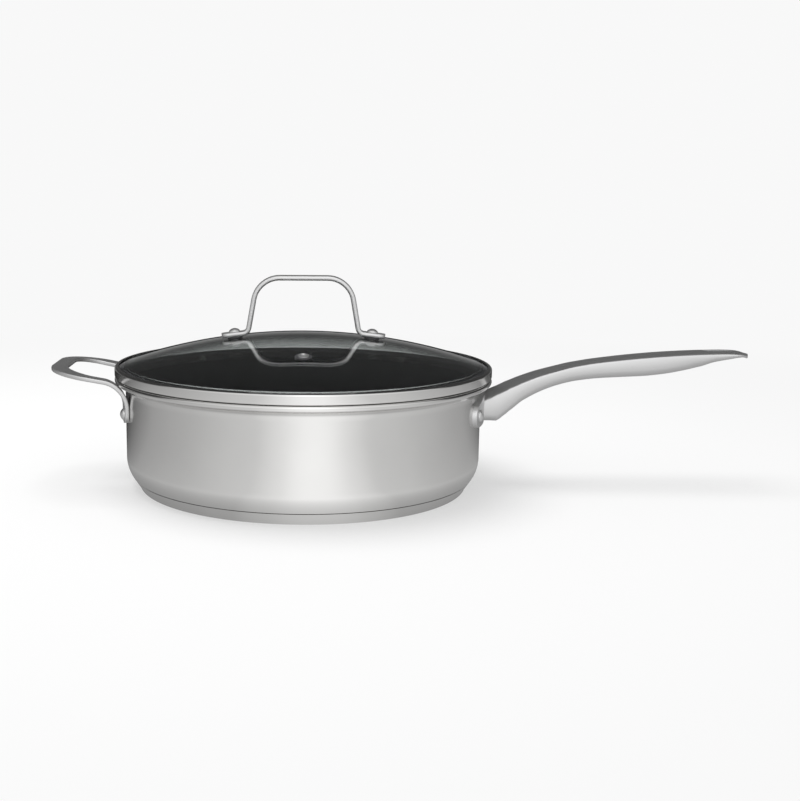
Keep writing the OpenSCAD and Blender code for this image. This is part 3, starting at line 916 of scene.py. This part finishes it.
    def execute(self, context):
        wall = context.scene.pan_sizes.wall_radius
        sizes = context.scene.long_handle_sizes
        bm = bmesh.new()
        loft(bm, [self.ring(sizes, wall, place) for place in self.stations(sizes)])
        grip = rough_object(bm, "grip")
        combine(grip, self.flange(sizes, wall), "UNION")
        combine(grip, drum(wall, 0, 0.2, "wall_cut"), "DIFFERENCE")
        combine(grip, self.slot(sizes, wall), "DIFFERENCE")
        bm = bmesh.new()
        bm.from_mesh(grip.data)
        discard(grip)
        finish_piece(bm, "long_handle_grip", "pan", "long_handle", "handle_steel",
                     steel("handle_steel"), crease=40)
        return {"FINISHED"}


class PAN_OT_helper_handle(bpy.types.Operator):
    """Bend the helper handle's flat bar"""
    bl_idname = "pan.helper_handle"
    bl_label = "Helper handle"

    # How far the bar runs on past half its width below each rivet
    LUG_MARGIN = 0.0005

    def execute(self, context):
        wall = context.scene.pan_sizes.wall_radius
        sizes = context.scene.helper_sizes
        turn = sizes.spread
        lug = wall + sizes.thickness / 2
        end = sizes.width / 2 + self.LUG_MARGIN
        half = [
            Vector((-lug * math.cos(turn), -lug * math.sin(turn), sizes.height - end)),
            Vector((-lug * math.cos(turn), -lug * math.sin(turn), sizes.knee_height)),
            Vector((-wall - sizes.reach, -sizes.half_span, sizes.tip_height))]
        corners = half + [Vector((p.x, -p.y, p.z)) for p in half[::-1]]
        path = bent_path(corners, [sizes.knee, sizes.corner, sizes.corner, sizes.knee], 16)
        path, shares = round_ends(path, end, sizes.width / 2)

        def across(tangent, point):
            side = -1 if point.y < 0 else 1
            lug_way = Vector((math.sin(turn), side * math.cos(turn), 0))
            hint = Vector((0, 0, 1)).cross(tangent) + lug_way * abs(tangent.z)
            return (hint - tangent * hint.dot(tangent)).normalized()

        section = bar_section(sizes.width, sizes.thickness, BAR_EDGE, 4)
        bm = bmesh.new()
        loft(bm, swept_rings(path, shares, section, across))
        finish_piece(bm, "helper_handle_bar", "pan", "helper_handle", "handle_steel",
                     steel("handle_steel"), crease=SMALL_CREASE)
        return {"FINISHED"}


class PAN_OT_wall_rivets(bpy.types.Operator):
    """Set the four rivets that hold the handles to the wall"""
    bl_idname = "pan.wall_rivets"
    bl_label = "Wall rivets"

    def execute(self, context):
        pan = context.scene.pan_sizes
        long = context.scene.long_handle_sizes
        helper = context.scene.helper_sizes
        rivets = context.scene.rivet_sizes
        outer_long = pan.wall_radius + long.flange
        outer_helper = pan.wall_radius + helper.thickness
        places = (
            ("long_handle_rivet_front", -long.spread, long.height, outer_long),
            ("long_handle_rivet_rear", long.spread, long.height, outer_long),
            ("helper_rivet_front", math.pi + helper.spread, helper.height, outer_helper),
            ("helper_rivet_rear", math.pi - helper.spread, helper.height, outer_helper))
        inner = pan.wall_radius - pan.wall
        tail_reach = math.sqrt(inner ** 2 - rivets.tail ** 2)
        for node, turn, height, seat in places:
            deep = tail_reach - seat
            outline = rivet_outline(rivets, deep, deep - rivets.tail_height * 0.6, 0)
            turned_piece(outline, node + "_piece", "pan", node, "rivet_steel",
                         steel("rivet_steel"),
                         place=on_wall(turn, height, seat))
        return {"FINISHED"}


class PAN_OT_lid_glass(bpy.types.Operator):
    """Spin the domed glass of the lid"""
    bl_idname = "pan.lid_glass"
    bl_label = "Lid glass"

    def execute(self, context):
        lid = context.scene.lid_sizes
        levels = lid_levels(context.scene.pan_sizes, lid)
        turned_piece(glass_outline(lid, levels), "lid_dome", "lid", "lid_glass", "lid_glass",
                     make_glass(context.scene.pan_finishes), large=True)
        return {"FINISHED"}


class PAN_OT_lid_band(bpy.types.Operator):
    """Spin the lid's steel band and the silicone seal inside it"""
    bl_idname = "pan.lid_band"
    bl_label = "Lid band and seal"

    def execute(self, context):
        pan = context.scene.pan_sizes
        lid = context.scene.lid_sizes
        levels = lid_levels(pan, lid)
        turned_piece(band_outline(pan, lid, levels), "lid_band_ring", "lid", "lid_band", "pan_steel",
                     steel("body_steel"), closed=True, large=True)
        turned_piece(seal_outline(lid, levels), "lid_seal_ring", "lid", "lid_seal", "seal_rubber",
                     silicone(), closed=True, large=True)
        return {"FINISHED"}


class PAN_OT_lid_handle(bpy.types.Operator):
    """Bend the lid's loop handle and set its rivets and washers"""
    bl_idname = "pan.lid_handle"
    bl_label = "Lid handle"

    # Height above the tail's face where a lid rivet's rounded edge ends
    TAIL_SHOULDER = 0.0006

    def foot_point(self, sizes, lid, rivets, levels, along):
        lean = math.asin(sizes.rivet_place / lid.dome_radius)
        reach = lid.dome_radius + rivets.washer_height + sizes.thickness / 2
        return Vector((reach * math.sin(lean) + along * math.cos(lean), 0,
                       levels["centre"] + reach * math.cos(lean) - along * math.sin(lean)))

    def execute(self, context):
        lid = context.scene.lid_sizes
        sizes = context.scene.lid_handle_sizes
        rivets = context.scene.rivet_sizes
        levels = lid_levels(context.scene.pan_sizes, lid)
        lean = math.asin(sizes.rivet_place / lid.dome_radius)
        knee = self.foot_point(sizes, lid, rivets, levels,
                               (sizes.leg_place - sizes.rivet_place) / math.cos(lean))
        loop_z = levels["centre"] + lid.dome_radius + sizes.loop_height - sizes.thickness / 2
        top_x = knee.x - (loop_z - knee.z) * math.tan(sizes.lean)
        half = [self.foot_point(sizes, lid, rivets, levels, sizes.foot), knee,
                Vector((top_x, 0, loop_z))]
        corners = half + [Vector((-p.x, 0, p.z)) for p in half[::-1]]
        radii = [sizes.foot_bend, sizes.loop_corner, sizes.loop_corner, sizes.foot_bend]
        path, shares = round_ends(bent_path(corners, radii, 14), sizes.width / 2, sizes.width / 2)
        section = bar_section(sizes.width, sizes.thickness, sizes.thickness / 2 - SOFT_EDGE, 6)
        bm = bmesh.new()
        loft(bm, swept_rings(path, shares, section, lambda tangent, point: Vector((0, 1, 0))))
        finish_piece(bm, "lid_handle_loop", "lid", "lid_handle", "handle_steel",
                     steel("rivet_steel"), crease=SMALL_CREASE)
        self.fasteners(lid, sizes, rivets, levels)
        return {"FINISHED"}

    def washer_outline(self, rivets, low):
        """Closed outline of a washer on a level."""
        high = low + rivets.washer_height
        hole = rivets.shank + HOLE_GAP
        face = rivets.washer - SOFT_EDGE
        return [(hole, low), (face, low), (rivets.washer, low + SOFT_EDGE),
                (rivets.washer, high - SOFT_EDGE), (face, high), (hole, high)]

    def fasteners(self, lid, sizes, rivets, levels):
        """Sets a rivet and its two washers through the glass on each side."""
        under = -lid.glass - rivets.washer_height - dish(lid, rivets.washer)
        shoulder = under - rivets.tail_height + self.TAIL_SHOULDER
        outline = rivet_outline(rivets, under, shoulder, rivets.washer_height + sizes.thickness)
        for side, word in ((-1, "left"), (1, "right")):
            place = on_glass(lid, levels, side * sizes.rivet_place)
            node = f"lid_rivet_{word}"
            turned_piece(outline, node + "_piece", "lid", node, "rivet_steel",
                         steel("rivet_steel"), place=place)
            for level, low in (("upper", 0), ("lower", under)):
                node = f"lid_{level}_washer_{word}"
                turned_piece(self.washer_outline(rivets, low), node + "_ring", "lid", node,
                             "seal_rubber", silicone(), place=place, closed=True)


class PAN_OT_vent(bpy.types.Operator):
    """Set the steam vent's eyelet and its gasket in the glass"""
    bl_idname = "pan.vent"
    bl_label = "Steam vent"

    # How far the eyelet's heads stand out past its barrel, and the rounding of its hole
    FLARE = 0.0012
    HOLE_TURN = 0.0003

    def execute(self, context):
        lid = context.scene.lid_sizes
        levels = lid_levels(context.scene.pan_sizes, lid)
        place = Matrix.Rotation(-math.pi / 2, 4, "Z") @ on_glass(lid, levels, lid.vent_place)
        seat = -lid.glass - dish(lid, lid.vent_collar)
        hole, barrel, collar = lid.vent_hole, lid.vent_barrel, lid.collar
        foot = seat - 2 * collar
        flare = barrel + self.FLARE
        head = [(x, z + collar) for x, z in head_outline(flare, 0.0016)]
        top = max(z for x, z in head if x <= hole + self.FLARE)
        eyelet = (
            [(hole, foot), (flare, foot), (flare, foot + collar)]
            + [(barrel, foot + collar), (barrel, collar)]
            + [p for p in head if p[0] > hole + self.HOLE_TURN]
            + [(hole + SOFT_EDGE, top - 0.00005), (hole, top - self.HOLE_TURN)])
        turned_piece(eyelet, "vent_eyelet_piece", "lid", "vent_eyelet", "rivet_steel",
                     steel("rivet_steel"), place=place, closed=True)
        wide, neck = lid.vent_collar, barrel + collar
        low = seat - collar
        gasket = [
            (barrel, low), (wide - SOFT_EDGE, low), (wide, low + SOFT_EDGE), (wide, seat),
            (neck, seat), (neck, 0), (wide, 0), (wide, collar - SOFT_EDGE),
            (wide - SOFT_EDGE, collar), (barrel, collar)]
        turned_piece(gasket, "vent_gasket_ring", "lid", "vent_gasket", "seal_rubber",
                     silicone(), place=place, closed=True)
        return {"FINISHED"}


class PAN_OT_stage(bpy.types.Operator):
    """Set the floor, the studio light and the camera"""
    bl_idname = "pan.stage"
    bl_label = "Stage"

    # Brightness of the studio in reflections, from behind the pan round to the front
    ROUND_ABOUT = ((0.0, 0.02), (0.10, 0.03), (0.22, 0.16), (0.42, 0.36), (0.75, 0.50),
                   (0.94, 0.62), (0.982, 0.82), (1.0, 1.0))
    GAIN = 1.16
    TURN = math.radians(5.5)
    # Brightness behind the pan, and of the strip low down there
    BEHIND_LIGHT = 0.045
    STRIP_LIGHT = 0.26
    # Where the floor turns into the backdrop, and where the painted shade in its reflection round the
    # pan's foot ends, from the axis
    FADE_START = 0.4
    FADE_WIDTH = 0.6
    PAINTED_SHADE_RADIUS = 0.125
    PAINTED_SHADE_WIDTH = 0.045

    def round_about(self, graph, x, y):
        """Brightness by the direction round the pan."""
        across = x * math.cos(self.TURN) + y * math.sin(self.TURN)
        ahead = y * math.cos(self.TURN) - x * math.sin(self.TURN)
        size = (across * across + ahead * ahead + 1e-6) ** 0.5
        front = (1.0 - ahead / size) * 0.5
        return graph.add("ShaderNodeValToRGB", {"stops": self.ROUND_ABOUT}, [front]) * self.GAIN

    def world(self, context):
        """Three brightnesses: in reflections, seen by the camera, and as light from all round."""
        world = bpy.data.worlds.new("studio")
        context.scene.world = world
        world.use_nodes = True
        world.cycles.sampling_method = "NONE"
        graph = Graph(world.node_tree)
        settings = context.scene.stage_settings
        x, y, z = graph.coordinates("Generated")
        rays = self.rays(graph)
        behind = ((y + 0.05) * 6.0).clamped()
        raised = 1.0 + (z * 2.0).clamped() * 0.35
        low = (1.0 - z * 5.0).clamped()
        front = self.round_about(graph, x, y) * (1.0 - behind) * raised
        mirrored = front + behind * (self.BEHIND_LIGHT + low * low * self.STRIP_LIGHT)
        light = settings.ambient * (1.0 - rays["mirror"]) + mirrored * rays["mirror"]
        strength = light * (1.0 - rays["seen"]) + settings.floor * rays["seen"]
        surface = graph.add("ShaderNodeBackground", None, {
            "Color": (1, 1, 1, 1), "Strength": strength})
        graph.add("ShaderNodeOutputWorld", None, {"Surface": surface})

    def rays(self, graph):
        """Rays that see the backdrop straight or through the glass, and rays off a glossy surface."""
        node = graph.tree.nodes.new("ShaderNodeLightPath")
        camera, through, matt, glossy = (Value(graph, node.outputs[name]) for name in (
            "Is Camera Ray", "Is Transmission Ray", "Diffuse Depth", "Glossy Depth"))
        mirror = glossy.clamped()
        direct = through * (1.0 - mirror) * (1.0 - matt.clamped())
        return {"seen": (camera + direct).clamped(), "mirror": mirror}

    def floor(self, context):
        """A floor that takes the pan's shadow and fades into the backdrop, and whose reflection carries
        painted shade round the pan's foot.
        """
        settings = context.scene.stage_settings
        bm = bmesh.new()
        bmesh.ops.create_grid(bm, x_segments=1, y_segments=1, size=30)
        bmesh.ops.translate(bm, vec=(0, 0, CAD_LOW.z), verts=bm.verts)
        mesh = bpy.data.meshes.new("floor")
        bm.to_mesh(mesh)
        bm.free()
        obj = bpy.data.objects.new("floor", mesh)
        context.scene.collection.objects.link(obj)
        material, graph = new_graph("floor")
        material.cycles.emission_sampling = "NONE"
        mesh.materials.append(material)
        x, y, z = graph.coordinates()
        rays = self.rays(graph)
        grey = settings.floor * settings.floor_grey
        away = (x * x + y * y) ** 0.5
        matt = graph.add("ShaderNodeBsdfDiffuse", None, {"Color": (grey, grey, grey, 1)})
        glow = self.glow(graph, rays["seen"] * (settings.floor - grey))
        near = graph.add("ShaderNodeAddShader", None, [matt, glow])
        backdrop = self.glow(graph, settings.floor)
        fade = ((away - self.FADE_START) / self.FADE_WIDTH).clamped() * rays["seen"]
        pale = graph.add("ShaderNodeMixShader", None, [fade, near, backdrop])
        # Painted shade: the floor's reflection is darkened to 0.55 under the pan and brightens back to
        # full just outside its foot
        clear = ((away - self.PAINTED_SHADE_RADIUS) / self.PAINTED_SHADE_WIDTH).clamped()
        share = 0.55 + clear * 0.45
        mirrored = self.glow(graph, self.round_about(graph, x, y) * share)
        surface = graph.add("ShaderNodeMixShader", None, [rays["mirror"], pale, mirrored])
        graph.add("ShaderNodeOutputMaterial", None, {"Surface": surface})

    def glow(self, graph, strength):
        return graph.add("ShaderNodeEmission", None, {"Color": (1, 1, 1, 1), "Strength": strength})

    def lamp(self, context):
        """A soft lamp overhead, which no steel surface mirrors."""
        data = bpy.data.lights.new("overhead_lamp", "AREA")
        data.shape = "DISK"
        data.size = 1.1
        data.energy = context.scene.stage_settings.lamp
        lamp = bpy.data.objects.new("overhead_lamp", data)
        place = Vector((-0.3, 0.1, 1.5))
        target = Vector((0, 0, 0.05))
        turned = (target - place).to_track_quat("-Z", "Y").to_matrix().to_4x4()
        lamp.matrix_world = Matrix.Translation(place) @ turned
        lamp.visible_glossy = False
        context.scene.collection.objects.link(lamp)

    def camera(self, context):
        data = bpy.data.cameras.new("camera")
        data.lens = 54.98
        data.sensor_width = 36
        data.shift_x = 0.122
        data.clip_start = 0.05
        data.clip_end = 60
        camera = bpy.data.objects.new("camera", data)
        place = Matrix.Translation((-0.0006, -0.9273, 0.2282))
        look_down = 10.052
        tilt = Matrix.Rotation(math.radians(90 - look_down), 4, "X")
        roll = Matrix.Rotation(math.radians(0.319), 4, "Z")
        camera.matrix_world = place @ tilt @ roll
        context.scene.collection.objects.link(camera)
        context.scene.camera = camera

    def execute(self, context):
        self.world(context)
        self.floor(context)
        self.lamp(context)
        self.camera(context)
        context.scene.view_settings.view_transform = "Standard"
        return {"FINISHED"}


class PAN_PT_panel(bpy.types.Panel):
    """Sizes, finishes and steps of the pan"""
    bl_label = "Saute pan with lid"
    bl_idname = "PAN_PT_panel"
    bl_space_type = "VIEW_3D"
    bl_region_type = "UI"
    bl_category = "Pan"

    def draw(self, context):
        for operator in OPERATORS:
            self.layout.operator(operator.bl_idname)
        for name in SETTINGS:
            box = self.layout.box()
            group = getattr(context.scene, name)
            for key in group.bl_rna.properties.keys():
                if key not in ("rna_type", "name"):
                    box.prop(group, key)


SETTINGS = {
    "pan_sizes": PanSizes,
    "lid_sizes": LidSizes,
    "lid_handle_sizes": LidHandleSizes,
    "long_handle_sizes": LongHandleSizes,
    "helper_sizes": HelperSizes,
    "rivet_sizes": RivetSizes,
    "pan_finishes": PanFinishes,
    "stage_settings": StageSettings,
}
OPERATORS = (
    PAN_OT_stage,
    PAN_OT_body,
    PAN_OT_base,
    PAN_OT_long_handle,
    PAN_OT_helper_handle,
    PAN_OT_wall_rivets,
    PAN_OT_lid_glass,
    PAN_OT_lid_band,
    PAN_OT_lid_handle,
    PAN_OT_vent,
)


def register():
    for name, group in SETTINGS.items():
        bpy.utils.register_class(group)
        setattr(bpy.types.Scene, name, bpy.props.PointerProperty(type=group))
    for cls in (*OPERATORS, PAN_PT_panel):
        bpy.utils.register_class(cls)


def unregister():
    for cls in (PAN_PT_panel, *reversed(OPERATORS)):
        bpy.utils.unregister_class(cls)
    for name, group in SETTINGS.items():
        delattr(bpy.types.Scene, name)
        bpy.utils.unregister_class(group)


def main():
    register()
    bpy.ops.pan.stage()
    bpy.ops.pan.body()
    bpy.ops.pan.base()
    bpy.ops.pan.long_handle()
    bpy.ops.pan.helper_handle()
    bpy.ops.pan.wall_rivets()
    bpy.ops.pan.lid_glass()
    bpy.ops.pan.lid_band()
    bpy.ops.pan.lid_handle()
    bpy.ops.pan.vent()


if __name__ == "__main__":
    main()
